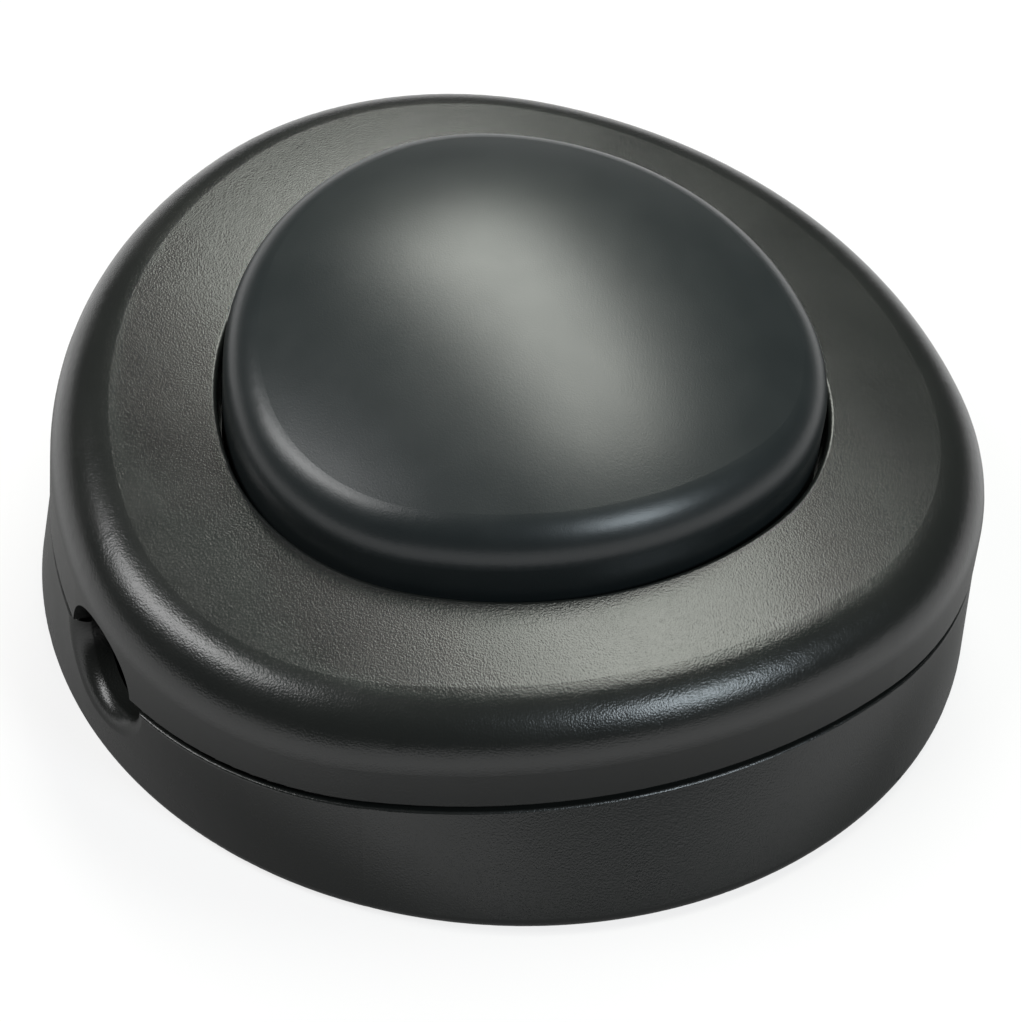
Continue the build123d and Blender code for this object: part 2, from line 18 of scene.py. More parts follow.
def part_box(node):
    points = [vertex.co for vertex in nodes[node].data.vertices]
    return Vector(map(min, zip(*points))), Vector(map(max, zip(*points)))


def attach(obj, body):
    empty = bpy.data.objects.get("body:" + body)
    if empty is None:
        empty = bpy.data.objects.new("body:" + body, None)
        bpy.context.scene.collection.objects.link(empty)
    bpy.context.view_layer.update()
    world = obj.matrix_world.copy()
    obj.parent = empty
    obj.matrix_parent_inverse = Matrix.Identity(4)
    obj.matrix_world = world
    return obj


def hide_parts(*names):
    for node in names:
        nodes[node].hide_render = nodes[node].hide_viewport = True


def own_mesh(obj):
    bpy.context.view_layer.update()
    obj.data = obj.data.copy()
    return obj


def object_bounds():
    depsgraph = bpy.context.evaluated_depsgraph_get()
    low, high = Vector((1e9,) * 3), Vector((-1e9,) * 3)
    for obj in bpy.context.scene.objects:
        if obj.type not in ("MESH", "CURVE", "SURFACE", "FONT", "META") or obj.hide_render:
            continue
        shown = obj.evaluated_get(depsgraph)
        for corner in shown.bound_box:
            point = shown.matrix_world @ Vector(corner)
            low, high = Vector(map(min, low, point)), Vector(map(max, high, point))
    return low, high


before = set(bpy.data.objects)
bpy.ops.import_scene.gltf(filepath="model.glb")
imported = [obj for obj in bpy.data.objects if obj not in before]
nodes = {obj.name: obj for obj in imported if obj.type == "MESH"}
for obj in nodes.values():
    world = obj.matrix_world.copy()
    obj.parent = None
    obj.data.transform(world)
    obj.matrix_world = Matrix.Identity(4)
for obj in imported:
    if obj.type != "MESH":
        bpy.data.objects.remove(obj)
solid_low, solid_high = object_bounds()
MM = 0.001
scene = bpy.context.scene
print("solids", len(nodes), "box in mm", [round(c / MM, 2) for c in solid_high - solid_low])

# %% [markdown]
# ## Colour and nodes
#
# Colours are picked as hex values on a screen, so they are sRGB. Shaders calculate in linear
# light, and one function does that conversion. A second function adds a node to any tree, a
# shader's or a geometry's: it sets the node's properties and links or fills its inputs. A third
# turns a size in millimetres into the scale that a texture node wants.

# %% Colour and node helpers
def linear(code):
    """Linear RGBA of an sRGB hex colour."""
    channels = [int(code[i : i + 2], 16) / 255 for i in (1, 3, 5)]
    bent = [c / 12.92 if c <= 0.04045 else ((c + 0.055) / 1.055) ** 2.4 for c in channels]
    return (*bent, 1.0)


def add_node(tree, kind, inputs=None, **settings):
    """A node with its properties set and its inputs filled or linked."""
    node = tree.nodes.new(kind)
    for name, value in settings.items():
        setattr(node, name, value)
    for name, value in (inputs or {}).items():
        if isinstance(value, bpy.types.NodeSocket):
            tree.links.new(value, node.inputs[name])
        else:
            node.inputs[name].default_value = value
    return node


def new_material(name):
    """An empty material and its node tree."""
    material = bpy.data.materials.new(name)
    material.use_nodes = True
    material.node_tree.nodes.clear()
    return material, material.node_tree


def per_metre(size_mm):
    """Texture scale at which one feature of a pattern measures size_mm."""
    return 1 / (size_mm * MM)


print("linear mid grey", round(linear("#808080")[0], 3))

# %% [markdown]
# ## Moulded plastic
#
# Base, cover and button are moulded in black ABS. The mould was spark eroded, which leaves a
# field of tiny craters on the plastic: a dull sheen on the open faces that breaks into glints
# where a rounded edge catches a lamp. The craters could be real displacement, but at a few
# hundredths of a millimetre a bump shows the same. Its noise is about two pixels of the picture
# wide, as fine as it can be and still show. A slower noise varies sheen and tone, because plastic
# that flows into a mould never fills it evenly.

# %% Moulded plastic
def moulded_plastic(name, tones, grain_mm, depth_mm, cloud_mm, roughness, uneven, ior):
    """Plastic with a mould texture of one grain and depth, and clouds of tone and sheen."""
    material, tree = new_material(name)
    place = add_node(tree, "ShaderNodeTexCoord").outputs["Object"]
    grain = add_node(
        tree,
        "ShaderNodeTexNoise",
        {"Vector": place, "Scale": per_metre(grain_mm), "Detail": 1.0},
    )
    craters = add_node(
        tree,
        "ShaderNodeBump",
        {"Height": grain.outputs["Fac"], "Strength": 1.0, "Distance": depth_mm * MM},
    )
    cloud = add_node(
        tree,
        "ShaderNodeTexNoise",
        {"Vector": place, "Scale": per_metre(cloud_mm), "Detail": 3.0},
    )
    sheen = add_node(
        tree,
        "ShaderNodeMapRange",
        {
            "Value": cloud.outputs["Fac"],
            "From Min": 0.3,
            "From Max": 0.7,
            "To Min": roughness - uneven,
            "To Max": roughness + uneven,
        },
    )
    tone = add_node(
        tree,
        "ShaderNodeMix",
        {"Factor": cloud.outputs["Fac"], 6: linear(tones[0]), 7: linear(tones[1])},
        data_type="RGBA",
    )
    surface = add_node(
        tree,
        "ShaderNodeBsdfPrincipled",
        {
            "Base Color": tone.outputs[2],
            "Roughness": sheen.outputs["Result"],
            "IOR": ior,
            "Normal": craters.outputs["Normal"],
        },
    )
    add_node(tree, "ShaderNodeOutputMaterial", {"Surface": surface.outputs["BSDF"]})
    return material


ABS_IOR = 1.53
finishes = {
    # Spark-eroded black: dull from above, a sparkling line along the rounded shoulder.
    "cover": moulded_plastic(
        "abs_spark_eroded_cover",
        tones=("#1d1f1e", "#212321"),
        grain_mm=0.13,
        depth_mm=0.019,
        cloud_mm=6.0,
        roughness=0.25,
        uneven=0.02,
        ior=ABS_IOR,
    ),
    # The same mould texture on the lower half, a little duller.
    "base": moulded_plastic(
        "abs_spark_eroded_base",
        tones=("#1d1f1e", "#212321"),
        grain_mm=0.13,
        depth_mm=0.019,
        cloud_mm=6.0,
        roughness=0.28,
        uneven=0.02,
        ior=ABS_IOR,
    ),
    # A finer, satin texture that carries one large soft highlight, cooler in tone.
    "foot_button": moulded_plastic(
        "abs_satin_button",
        tones=("#1f2425", "#232829"),
        grain_mm=0.12,
        depth_mm=0.006,
        cloud_mm=3.5,
        roughness=0.33,
        uneven=0.015,
        ior=ABS_IOR,
    ),
}
for name, finish in finishes.items():
    nodes[name].data.materials[0] = finish
print("plastics", [finish.name for finish in finishes.values()])

# %% [markdown]
# ## Plastics inside
#
# The rotor turns on the axle without oil, so it is natural polyamide, the colour of ivory. The cord
# clamps are the same kind of moulding with grey pigment. Both come from polished moulds, so their
# grain is shallow.

# %% Inner plastics
POLYAMIDE_IOR = 1.53
# Natural polyamide: warm white, with a soft, even sheen.
ivory = moulded_plastic(
    "polyamide_natural_rotor",
    tones=("#e3ddcb", "#eae5d6"),
    grain_mm=0.35,
    depth_mm=0.006,
    cloud_mm=4.0,
    roughness=0.38,
    uneven=0.04,
    ior=POLYAMIDE_IOR,
)
# Pigmented polyamide: a flat mid grey that is a little duller.
grey = moulded_plastic(
    "polyamide_grey_clamp",
    tones=("#85857f", "#8d8d88"),
    grain_mm=0.35,
    depth_mm=0.008,
    cloud_mm=4.0,
    roughness=0.42,
    uneven=0.04,
    ior=POLYAMIDE_IOR,
)
nodes["rotor"].data.materials[0] = ivory
for name in ("cord_clamp_left", "cord_clamp_right"):
    nodes[name].data.materials[0] = grey
print("inner plastics", ivory.name, grey.name)

# %% [markdown]
# ## Worked metal
#
# Rolling, drawing, grinding and sawing all leave fine lines that run one way, and a metal face
# shows them as streaks in its shine. A noise stretched along the working direction gives them: one
# size in millimetres per axis, long along the lines and short across. It drives a shallow bump and
# the roughness together. The lines of real strip are finer than a pixel, so these are drawn a few
# times coarser to show at all. A slower noise tints the metal where air has dulled it.

# %% Worked metal
def worked_metal(name, tones, streak_mm, depth_mm, roughness, uneven):
    """Metal with lines whose size in mm is given along X, Y and Z, and clouds of tarnish."""
    material, tree = new_material(name)
    place = add_node(tree, "ShaderNodeTexCoord").outputs["Object"]
    stretched = add_node(
        tree,
        "ShaderNodeMapping",
        {"Vector": place, "Scale": [per_metre(size) for size in streak_mm]},
    )
    lines = add_node(
        tree,
        "ShaderNodeTexNoise",
        {"Vector": stretched.outputs["Vector"], "Scale": 1.0, "Detail": 2.0},
    )
    scored = add_node(
        tree,
        "ShaderNodeBump",
        {"Height": lines.outputs["Fac"], "Strength": 1.0, "Distance": depth_mm * MM},
    )
    shine = add_node(
        tree,
        "ShaderNodeMapRange",
        {
            "Value": lines.outputs["Fac"],
            "From Min": 0.3,
            "From Max": 0.7,
            "To Min": roughness - uneven,
            "To Max": roughness + uneven,
        },
    )
    tarnish = add_node(
        tree,
        "ShaderNodeTexNoise",
        {"Vector": place, "Scale": per_metre(3.0), "Detail": 3.0},
    )
    tone = add_node(
        tree,
        "ShaderNodeMix",
        {"Factor": tarnish.outputs["Fac"], 6: linear(tones[0]), 7: linear(tones[1])},
        data_type="RGBA",
    )
    surface = add_node(
        tree,
        "ShaderNodeBsdfPrincipled",
        {
            "Base Color": tone.outputs[2],
            "Metallic": 1.0,
            "Roughness": shine.outputs["Result"],
            "Normal": scored.outputs["Normal"],
        },
    )
    add_node(tree, "ShaderNodeOutputMaterial", {"Surface": surface.outputs["BSDF"]})
    return material


# Ground between centres: fine rings round the axle, bright and grey.
ground_steel = worked_metal(
    "steel_ground_axle",
    tones=("#b4b6b8", "#c0c2c3"),
    streak_mm=(2.0, 2.0, 0.12),
    depth_mm=0.004,
    roughness=0.24,
    uneven=0.06,
)
# Hardened and tempered strip: darker, with the faint straw colour of tempering.
tempered_strip = worked_metal(
    "spring_steel_tempered_strip",
    tones=("#8f9194", "#a09a8e"),
    streak_mm=(3.0, 0.2, 0.2),
    depth_mm=0.004,
    roughness=0.30,
    uneven=0.05,
)
# Rolled brass strip: warm yellow, with long lines in the direction of rolling.
rolled_brass = worked_metal(
    "brass_rolled_strip",
    tones=("#c2a05a", "#cfb06c"),
    streak_mm=(4.0, 0.18, 0.18),
    depth_mm=0.004,
    roughness=0.26,
    uneven=0.06,
)
# Sawn brass bar: the blade leaves coarse upright lines.
sawn_brass = worked_metal(
    "brass_sawn_bar",
    tones=("#bd9a54", "#c9a963"),
    streak_mm=(0.25, 0.25, 5.0),
    depth_mm=0.010,
    roughness=0.34,
    uneven=0.07,
)
# Cold-headed silver: white, soft and slightly pebbled.
headed_silver = worked_metal(
    "silver_cold_headed_contact",
    tones=("#d5d5d0", "#e2e2de"),
    streak_mm=(0.3, 0.3, 0.3),
    depth_mm=0.006,
    roughness=0.22,
    uneven=0.05,
)
metal_of = {
    "rotor_axle": ground_steel,
    "axle_clip": tempered_strip,
    "detent_spring": tempered_strip,
    "contact_bridge": rolled_brass,
    "fixed_contact_left": rolled_brass,
    "fixed_contact_right": rolled_brass,
    "terminal_left": sawn_brass,
    "terminal_right": sawn_brass,
    "terminal_through": sawn_brass,
    "bridge_contacts": headed_silver,
    "fixed_contact_rivets": headed_silver,
}
for name, metal in metal_of.items():
    nodes[name].data.materials[0] = metal
print("metal nodes", len(metal_of))

# %% [markdown]
# ## Running a geometry tree
#
# The spring and the screws follow rules, so Geometry Nodes make them. Each tree gets named inputs
# for its sizes. A modifier runs the tree on a holder object, and the result is then turned into a
# plain mesh, because instances and live modifiers do not survive an export.

# %% Geometry tree helpers
SMOOTH_BELOW = math.radians(35)


def new_tree(name, inputs):
    """A geometry tree with a geometry in and out, and further named inputs of the given kinds."""
    tree = bpy.data.node_groups.new(name, "GeometryNodeTree")
    tree.interface.new_socket("Geometry", in_out="OUTPUT", socket_type="NodeSocketGeometry")
    tree.interface.new_socket("Geometry", in_out="INPUT", socket_type="NodeSocketGeometry")
    for label, kind in inputs.items():
        tree.interface.new_socket(label, in_out="INPUT", socket_type="NodeSocket" + kind)
    return tree, add_node(tree, "NodeGroupInput").outputs


def bake(obj):
    """Turn what an object's modifiers make into its plain mesh."""
    graph = bpy.context.evaluated_depsgraph_get()
    baked = bpy.data.meshes.new_from_object(obj.evaluated_get(graph))
    obj.modifiers.clear()
    obj.data = baked
    baked.name = obj.name
    return baked


def grow(name, tree, points, values):
    """An object whose mesh is what the tree makes of some points with these input values."""
    seed_mesh = bpy.data.meshes.new(name + "_points")
    seed_mesh.from_pydata(points, [], [])
    holder = bpy.data.objects.new(name, seed_mesh)
    scene.collection.objects.link(holder)
    modifier = holder.modifiers.new(tree.name, "NODES")
    modifier.node_group = tree
    for item in tree.interface.items_tree:
        if item.in_out == "INPUT" and item.name in values:
            modifier[item.identifier] = values[item.name]
    grown = bake(holder)
    grown.shade_smooth()
    grown.set_sharp_from_angle(angle=SMOOTH_BELOW)
    print(name, len(grown.polygons), "faces")
    return holder


# %% [markdown]
# ## Return spring
#
# A coil of hard-drawn wire pushes the button up again. Real compression springs have flat, closed
# ends, so that they stand straight on their seat. A Screw modifier would give an even pitch all
# the way. Here a spiral curve gets its height from a Map Range that stays level for the closed
# part of each end, and a small circle swept along it gives the wire its body.

# %% Spring tree
spring_tree, spring_in = new_tree(
    "wound_wire_spring",
    {
        "Coil Radius": "Float",
        "Wire Radius": "Float",
        "Low": "Float",
        "High": "Float",
        "Turns": "Float",
        "Closed Share": "Float",
        "Open Share": "Float",
        "Wire": "Material",
    },
)
coil = add_node(
    spring_tree,
    "GeometryNodeCurveSpiral",
    {
        "Resolution": 48,
        "Rotations": spring_in["Turns"],
        "Start Radius": spring_in["Coil Radius"],
        "End Radius": spring_in["Coil Radius"],
        "Height": 0.0,
    },
)
along = add_node(spring_tree, "GeometryNodeSplineParameter")
rise = add_node(
    spring_tree,
    "ShaderNodeMapRange",
    {
        "Value": along.outputs["Factor"],
        "From Min": spring_in["Closed Share"],
        "From Max": spring_in["Open Share"],
        "To Min": spring_in["Low"],
        "To Max": spring_in["High"],
    },
)
lift = add_node(spring_tree, "ShaderNodeCombineXYZ", {"Z": rise.outputs["Result"]})
raised = add_node(
    spring_tree,
    "GeometryNodeSetPosition",
    {"Geometry": coil.outputs["Curve"], "Offset": lift.outputs["Vector"]},
)
round_wire = add_node(
    spring_tree,
    "GeometryNodeCurvePrimitiveCircle",
    {"Resolution": 14, "Radius": spring_in["Wire Radius"]},
)
body = add_node(
    spring_tree,
    "GeometryNodeCurveToMesh",
    {
        "Curve": raised.outputs["Geometry"],
        "Profile Curve": round_wire.outputs["Curve"],
        "Fill Caps": True,
    },
)
solid_wire = add_node(
    spring_tree, "GeometryNodeRealizeInstances", {"Geometry": body.outputs["Mesh"]}
)
drawn = add_node(
    spring_tree,
    "GeometryNodeSetMaterial",
    {"Geometry": solid_wire.outputs["Geometry"], "Material": spring_in["Wire"]},
)
add_node(spring_tree, "NodeGroupOutput", {"Geometry": drawn.outputs["Geometry"]})
print("spring tree", len(spring_tree.nodes), "nodes")

# %% [markdown]
# The wire is as thick as the solid's, and its ends lie where the solid's box has them.

# %% Spring
# Drawn through a die: smooth, grey and bright, with lines too short to read along a coil.
drawn_wire = worked_metal(
    "spring_steel_drawn_wire",
    tones=("#9a9c9e", "#a8aaab"),
    streak_mm=(0.4, 0.4, 0.4),
    depth_mm=0.003,
    roughness=0.28,
    uneven=0.05,
)
spring_low, spring_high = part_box("return_spring")
wire_r = 0.5 * MM
turns = 5.0
closed_turns = 0.7
spring = grow(
    "return_spring_coil",
    spring_tree,
    [(0, 0, 0)],
    {
        "Coil Radius": spring_high.x - wire_r,
        "Wire Radius": wire_r,
        "Low": spring_low.z + wire_r,
        "High": spring_high.z - wire_r,
        "Turns": turns,
        "Closed Share": closed_turns / turns,
        "Open Share": 1 - closed_turns / turns,
        "Wire": drawn_wire,
    },
)
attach(spring, "housing")
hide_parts("return_spring")
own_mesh(spring)

# %% [markdown]
# ## Screw blanks
#
# There are three kinds of screw: the self-tapping ones that hold the halves together, with a cross
# recess, and slotted ones in the terminals and cord clamps. A screw is a turned thing, so its blank
# is a profile spun round an axis. The recess is cut by a Boolean with a prism, as a punch would
# press it. Each blank stands on its head's top at height 0, with its shank pointing down.

# %% Screw blanks
def link_mesh(name, bm):
    """A linked object from a bmesh with merged doubles and outward faces."""
    bmesh.ops.remove_doubles(bm, verts=bm.verts, dist=0.001 * MM)
    bmesh.ops.recalc_face_normals(bm, faces=bm.faces)
    mesh = bpy.data.meshes.new(name)
    bm.to_mesh(mesh)
    bm.free()
    made = bpy.data.objects.new(name, mesh)
    scene.collection.objects.link(made)
    return made


def cut_away(obj, tool):
    """Take a tool's shape out of an object, and remove the tool."""
    cut = obj.modifiers.new("cut", "BOOLEAN")
    cut.operation = "DIFFERENCE"
    cut.solver = "EXACT"
    cut.object = tool
    bake(obj)
    bpy.data.objects.remove(tool)


def screw_blank(name, head_r, head_h, core_r, length, recess, recess_depth):
    """A screw without its thread. Sizes in mm; recess is the corners of the punch's outline."""
    # The outline goes down from the head's centre, over its rounded edge and along the shank.
    edge = 0.16 * head_h
    outline = [
        (0, 0),
        (head_r * 0.55, -edge * 0.12),
        (head_r * 0.82, -edge * 0.5),
        (head_r * 0.95, -edge * 1.2),
        (head_r, -edge * 2.4),
        (head_r, -head_h + edge * 0.4),
        (head_r - edge * 0.4, -head_h),
        (core_r, -head_h),
        (core_r, -length + core_r * 0.5),
        (core_r * 0.6, -length),
        (0, -length),
    ]
    turned = bmesh.new()
    corners = [turned.verts.new((r * MM, 0, z * MM)) for r, z in outline]
    sides = [turned.edges.new(pair) for pair in zip(corners, corners[1:])]
    bmesh.ops.spin(
        turned, geom=corners + sides, axis=(0, 0, 1), angle=math.tau, steps=40, use_merge=True
    )
    blank = link_mesh(name, turned)
    punch = bmesh.new()
    low, high = (
        [punch.verts.new((x * MM, y * MM, z * MM)) for x, y in recess]
        for z in (-recess_depth, recess_depth)
    )
    punch.faces.new(low)
    punch.faces.new(high)
    for i in range(len(recess)):
        punch.faces.new((low[i - 1], low[i], high[i], high[i - 1]))
    cut_away(blank, link_mesh(name + "_punch", punch))
    print(name, len(blank.data.polygons), "faces")
    return blank


# %% [markdown]
# ## Screws in their places
#
# One tree serves all three kinds. It winds a thread on the blank's shank, sets a copy on every
# point, tips it over where a screw is driven from below, and turns each one by its own angle,
# because nobody stops all screws with their slots in line. The seed keeps those angles the same
# in every run.

# %% Screw tree
screw_tree, screw_in = new_tree(
    "driven_screws",
    {
        "Blank": "Object",
        "Core Radius": "Float",
        "Thread Height": "Float",
        "Thread Length": "Float",
        "Thread Turns": "Float",
        "Tip": "Float",
        "Tilt": "Float",
        "Seed": "Int",
        "Plating": "Material",
    },
)
helix = add_node(
    screw_tree,
    "GeometryNodeCurveSpiral",
    {
        "Resolution": 20,
        "Rotations": screw_in["Thread Turns"],
        "Start Radius": screw_in["Core Radius"],
        "End Radius": screw_in["Core Radius"],
        "Height": screw_in["Thread Length"],
    },
)
level_helix = add_node(
    screw_tree, "GeometryNodeSetCurveNormal", {"Curve": helix.outputs["Curve"]}, mode="Z_UP"
)
ridge = add_node(
    screw_tree,
    "GeometryNodeCurvePrimitiveCircle",
    {"Resolution": 4, "Radius": screw_in["Thread Height"]},
)
thread = add_node(
    screw_tree,
    "GeometryNodeCurveToMesh",
    {
        "Curve": level_helix.outputs["Curve"],
        "Profile Curve": ridge.outputs["Curve"],
        "Fill Caps": True,
    },
)
tip_place = add_node(screw_tree, "ShaderNodeCombineXYZ", {"Z": screw_in["Tip"]})
placed_thread = add_node(
    screw_tree,
    "GeometryNodeTransform",
    {"Geometry": thread.outputs["Mesh"], "Translation": tip_place.outputs["Vector"]},
)
blank_shape = add_node(screw_tree, "GeometryNodeObjectInfo", {"Object": screw_in["Blank"]})
whole_screw = add_node(screw_tree, "GeometryNodeJoinGeometry")
for part in (blank_shape.outputs["Geometry"], placed_thread.outputs["Geometry"]):
    screw_tree.links.new(part, whole_screw.inputs["Geometry"])
stop_angle = add_node(
    screw_tree,
    "FunctionNodeRandomValue",
    {2: 0.0, 3: math.tau, "Seed": screw_in["Seed"]},
    data_type="FLOAT",
)
stance = add_node(
    screw_tree, "ShaderNodeCombineXYZ", {"X": screw_in["Tilt"], "Z": stop_angle.outputs[1]}
)
copies = add_node(
    screw_tree,
    "GeometryNodeInstanceOnPoints",
    {
        "Points": screw_in["Geometry"],
        "Instance": whole_screw.outputs["Geometry"],
        "Rotation": stance.outputs["Vector"],
    },
)
real_screws = add_node(
    screw_tree, "GeometryNodeRealizeInstances", {"Geometry": copies.outputs["Instances"]}
)
plated = add_node(
    screw_tree,
    "GeometryNodeSetMaterial",
    {"Geometry": real_screws.outputs["Geometry"], "Material": screw_in["Plating"]},
)
add_node(screw_tree, "NodeGroupOutput", {"Geometry": plated.outputs["Geometry"]})
print("screw tree", len(screw_tree.nodes), "nodes")

# %% [markdown]
# The screws stand where the solids' screws do, so their points repeat the source's places in
# millimetres. Zinc plating is bluish white, thin and a little cloudy, over the fine turning marks
# of the steel.

# %% Screws
zinc = worked_metal(
    "steel_zinc_plated_screw",
    tones=("#b9bdc2", "#cbcdc8"),
    streak_mm=(0.5, 0.5, 0.15),
    depth_mm=0.004,
    roughness=0.28,
    uneven=0.06,
)


def drive_screws(
    node, head_r, head_h, core_r, crest_r, length, pitch, recess, recess_depth, places, tilt, seed
):
    """Screws of one kind in place of a node. Sizes in mm; places are the tops of their heads."""
    blank = screw_blank(node + "_blank", head_r, head_h, core_r, length, recess, recess_depth)
    thread_l = length - head_h - 2 * pitch
    piece = grow(
        node + "_turned",
        screw_tree,
        [Vector(place) * MM for place in places],
        {
            "Blank": blank,
            "Core Radius": core_r * MM,
            "Thread Height": (crest_r - core_r) * MM,
            "Thread Length": thread_l * MM,
            "Thread Turns": thread_l / pitch,
            "Tip": (pitch - length) * MM,
            "Tilt": tilt,
            "Seed": seed,
            "Plating": zinc,
        },
    )
    bpy.data.objects.remove(blank)
    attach(piece, "housing")
    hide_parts(node)


def slot_outline(length, width):
    """Corners of a straight slot."""
    a, b = length / 2, width / 2
    return [(a, b), (-a, b), (-a, -b), (a, -b)]


def cross_outline(length, width, turn):
    """Corners of a cross with four equal arms, turned by an angle in degrees."""
    a, b = length / 2, width / 2
    arm = [Vector((a, -b)), Vector((a, b)), Vector((b, b))]
    turns = [Matrix.Rotation(math.radians(turn + quarter), 2) for quarter in (0, 90, 180, 270)]
    return [(spin @ corner)[:] for spin in turns for corner in arm]


# %% [markdown]
# The housing screws are driven from below, so they are tipped over by half a turn. Their cross is
# turned a little in the head, which keeps its inner corners off the edges of the head's faces. The
# slots run right across the heads of the others.

# %% Drive the screws
drive_screws(
    "housing_screws",
    head_r=2.8,
    head_h=2.0,
    core_r=1.08,
    crest_r=1.44,
    length=11.87,
    pitch=1.2,
    recess=cross_outline(3.4, 0.7, turn=4),
    recess_depth=1.1,
    places=[(0, 28.07, 1.4), (15.625, -22.405, 1.4), (-15.625, -22.405, 1.4)],
    tilt=math.pi,
    seed=4,
)
switched_places = [(x, 1.2, 11.1) for x in (-26.43, 26.43)]
through_places = [(x, -25.143, 10.5) for x in (-4.6, 4.6)]
drive_screws(
    "terminal_screws",
    head_r=2.38,
    head_h=1.7,
    core_r=1.05,
    crest_r=1.29,
    length=4.95,
    pitch=0.5,
    recess=slot_outline(6.0, 0.7),
    recess_depth=0.8,
    places=switched_places + through_places,
    tilt=0,
    seed=7,
)
drive_screws(
    "clamp_screws",
    head_r=1.78,
    head_h=1.4,
    core_r=0.8,
    crest_r=1.09,
    length=8.4,
    pitch=0.9,
    recess=slot_outline(5.0, 0.6),
    recess_depth=0.7,
    places=[(x, y, 12.57) for x in (-25.242, 25.242) for y in (-16.0, -5.2)],
    tilt=0,
    seed=2,
)

# %% [markdown]
# ## Cord mouth
#
# The cord leaves the base over a rounded lip, which keeps a sharp edge from chafing it. The solid
# has that lip on its right mouth only, so the left one gets it here. A bevel wants neat rings of
# faces, and a solid's mesh is long triangles, so a trumpet is cut out of a copy instead. Its flare
# is a quarter circle in section. The wall around the hole is curved, so rays measure it first, and
# a smooth surface through what they hit tells the trumpet how to bend.

# %% Wall around the mouth
mouth = Vector((-32.74, -10.6, 8.77)) * MM
bore_r = 4.1 * MM
lip_r = 1.4 * MM
solid = nodes["base"].data
walls = BVHTree.FromPolygons(
    [vert.co for vert in solid.vertices], [face.vertices[:] for face in solid.polygons]
)


def wall_terms(y, z):
    """Terms of a gently curved surface, at a place seen from the middle of the mouth."""
    return (1, y, z, y * y, z * z, y * z)


inward = Vector((1, 0, 0))
outside = -10 * MM
terms, found = [], []
for angle in np.radians(np.linspace(195, 345, 13)):
    for r in (bore_r + 0.4 * MM, bore_r + lip_r):
        y, z = r * math.cos(angle), r * math.sin(angle)
        hit = walls.ray_cast(mouth + Vector((outside, y, z)), inward)[0]
        found.append(hit.x)
        terms.append(wall_terms(y, z))
bend = np.linalg.lstsq(np.array(terms), np.array(found), rcond=None)[0]
miss = max(abs(np.array(terms) @ bend - found))
print("wall met to within", round(miss / MM, 3), "mm")

# %% [markdown]
# The trumpet's section runs from the open air along the flare into the bore. It leaves the wall and
# the bore at a small angle, because two surfaces that only touch are hard for a Boolean to tell
# apart.

# %% Trumpet cut from the base
flare = []
for turn in np.radians(np.linspace(10, 80, 12)):
    flare.append((lip_r * (1 - math.cos(turn)), bore_r + lip_r * (1 - math.sin(turn))))
mouth_end = -2 * MM
rim_depth, rim_r = -0.1 * MM, bore_r + lip_r + 0.445 * MM
stem_depth, stem_r = 2.63 * MM, bore_r - 0.24 * MM
section = [(mouth_end, 0), (mouth_end, rim_r), (rim_depth, rim_r)]
section += flare + [(stem_depth, stem_r), (stem_depth, 0)]
trumpet = bmesh.new()
rings = []
for angle in np.linspace(0, math.tau, 72, endpoint=False):
    ring = []
    for depth, r in section:
        y, z = r * math.cos(angle), r * math.sin(angle)
        wall_x = float(np.dot(bend, wall_terms(y, z)))
        ring.append(trumpet.verts.new((wall_x + depth, mouth.y + y, mouth.z + z)))
    rings.append(ring)
for ring, after in zip(rings, rings[1:] + rings[:1]):
    for i in range(len(section) - 1):
        trumpet.faces.new((ring[i], after[i], after[i + 1], ring[i + 1]))
shell = bmesh.new()
shell.from_mesh(solid)
lipped = link_mesh("base_lipped", shell)
cut_away(lipped, link_mesh("mouth_trumpet", trumpet))
print("base with lip", len(lipped.data.polygons), "faces")

# %% [markdown]
# The solid carries exact normals for its smooth faces, and a copy of its mesh loses them. They come
# back corner by corner: one that was there before takes its normal from the old corner in the same
# place whose face looks the same way, and a new one on an old face takes what that face has there.
# The lip keeps its own.

# %% Normals of the lipped base
def spot_of(place):
    """A place in mm, rounded so that it can be looked up."""
    return tuple(round(c / MM, 3) for c in place)


old_corners = {}
for face in solid.polygons:
    for loop in face.loop_indices:
        spot = spot_of(solid.vertices[solid.loops[loop].vertex_index].co)
        pair = (face.normal.copy(), solid.corner_normals[loop].vector.copy())
        old_corners.setdefault(spot, []).append(pair)
on_old_face = 0.003 * MM
shape = lipped.data
shape.shade_smooth()
shape.set_sharp_from_angle(angle=SMOOTH_BELOW)
carried = []
for face in shape.polygons:
    for loop in face.loop_indices:
        place = shape.vertices[shape.loops[loop].vertex_index].co
        normal = shape.corner_normals[loop].vector.copy()
        near, _, index, gap = walls.find_nearest(place)
        here = old_corners.get(spot_of(place))
        if here:
            normal = max(here, key=lambda pair: pair[0].dot(face.normal))[1]
        elif gap < on_old_face:
            old = solid.polygons[index]
            shares = poly_3d_calc([solid.vertices[v].co for v in old.vertices], near)
            given = [solid.corner_normals[corner].vector for corner in old.loop_indices]
            normal = sum((n * s for n, s in zip(given, shares)), Vector()).normalized()
        carried.append(normal)
shape.normals_split_custom_set(carried)
shape.materials.clear()
shape.materials.append(finishes["base"])
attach(lipped, "housing")
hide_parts("base")
print("lipped base", len(shape.polygons), "faces,", len(carried), "normals")

# %% [markdown]
# ## Studio light
#
# Black plastic shows its lamps more than its own colour. The photograph's highlights tell where
# they stood: a long soft box high behind the switch gives the button its broad highlight, a shorter
# one to the left lights the left shoulder, and a small one in front draws the line on the button's
# front edge. The front one is cooler than the others. Each is placed by its angle from straight up
# and its bearing in degrees, and rolled about its own aim. Its strength is given as radiance, so
# that changing its size keeps its brightness.

